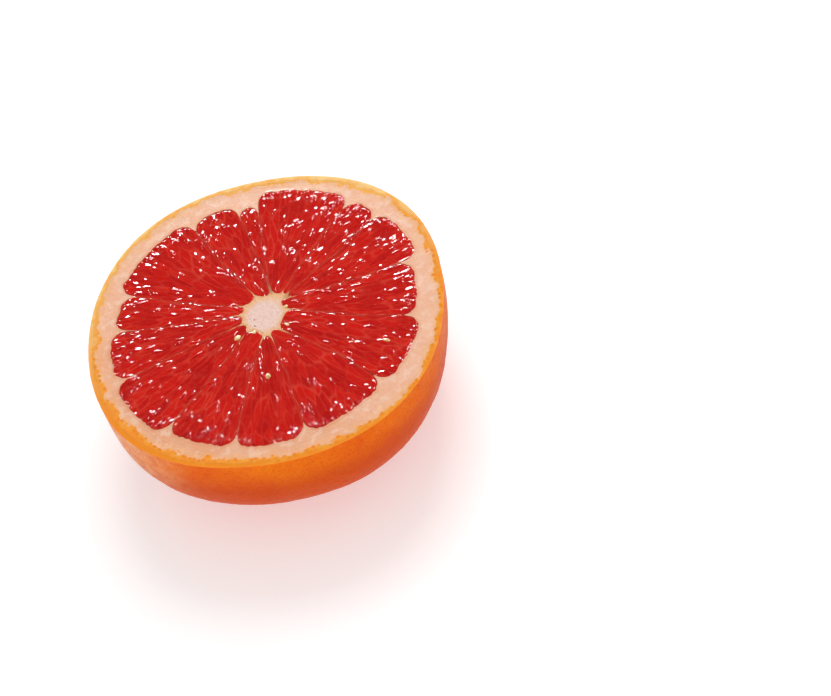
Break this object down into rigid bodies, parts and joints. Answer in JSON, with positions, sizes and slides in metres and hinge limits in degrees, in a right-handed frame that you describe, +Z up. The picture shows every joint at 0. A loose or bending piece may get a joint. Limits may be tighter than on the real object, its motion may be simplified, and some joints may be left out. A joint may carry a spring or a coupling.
{
  "type": "red grapefruit half",
  "caption": "Red grapefruit half lying cut face up: a bowl of orange peel and pale pith with wedges of red pulp between thin membranes, round a star-shaped core.",
  "frame": {"origin": "on the surface that the half rests on, below the middle of its outline", "axes": "+Z up, out of the cut face; -Y towards the low side of the picture's view of the cut face; +X to its right"},
  "size_m": [0.1098, 0.1104, 0.0438],
  "materials": {
    "rind": "orange peel outside, pale pith and membranes inside",
    "pulp": "wet and juicy, slightly see-through"
  },
  "bodies": {
    "root": {"rind": "rind", "segment_01": "pulp", "segment_02": "pulp", "segment_03": "pulp", "segment_04": "pulp", "segment_05": "pulp", "segment_06": "pulp", "segment_07": "pulp", "segment_08": "pulp", "segment_09": "pulp", "segment_10": "pulp", "segment_11": "pulp", "segment_12": "pulp", "segment_13": "pulp", "segment_14": "pulp"}
  },
  "joints": []
}
